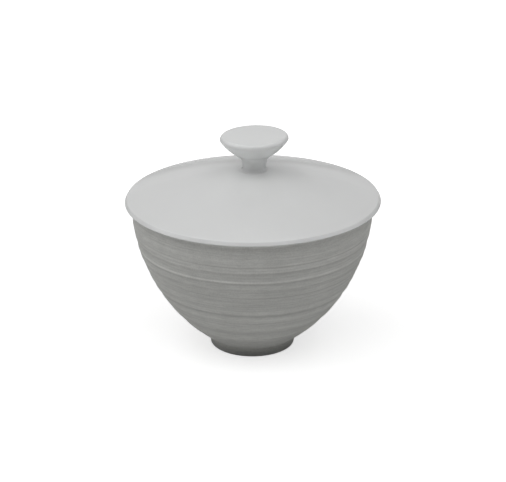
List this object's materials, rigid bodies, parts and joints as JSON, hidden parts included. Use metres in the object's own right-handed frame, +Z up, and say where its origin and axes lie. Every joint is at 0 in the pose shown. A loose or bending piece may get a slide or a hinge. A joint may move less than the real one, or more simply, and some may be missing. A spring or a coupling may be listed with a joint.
{
  "type": "lidded porcelain bowl",
  "caption": "Small lidded bowl: matt turned outside on a short foot ring, overhanging glazed dome lid with a flared finger knob.",
  "frame": {"origin": "centre of the foot ring's resting plane", "axes": "+Z up along the bowl's turning axis, +X towards the side that the knob is slightly off centre"},
  "size_m": [0.125, 0.125, 0.1084],
  "materials": {
    "matt_porcelain": "unglazed matt porcelain with fine horizontal turning lines",
    "white_glaze": "smooth white satin-gloss glaze"
  },
  "bodies": {
    "bowl": {"bowl": "matt_porcelain"},
    "lid": {"lid": "white_glaze", "knob": "white_glaze"}
  },
  "joints": [
    {"name": "lid_lift", "type": "slide", "parent": "bowl", "child": "lid", "axis": [0, 0, 1], "range_m": [0, 0.08]}
  ]
}
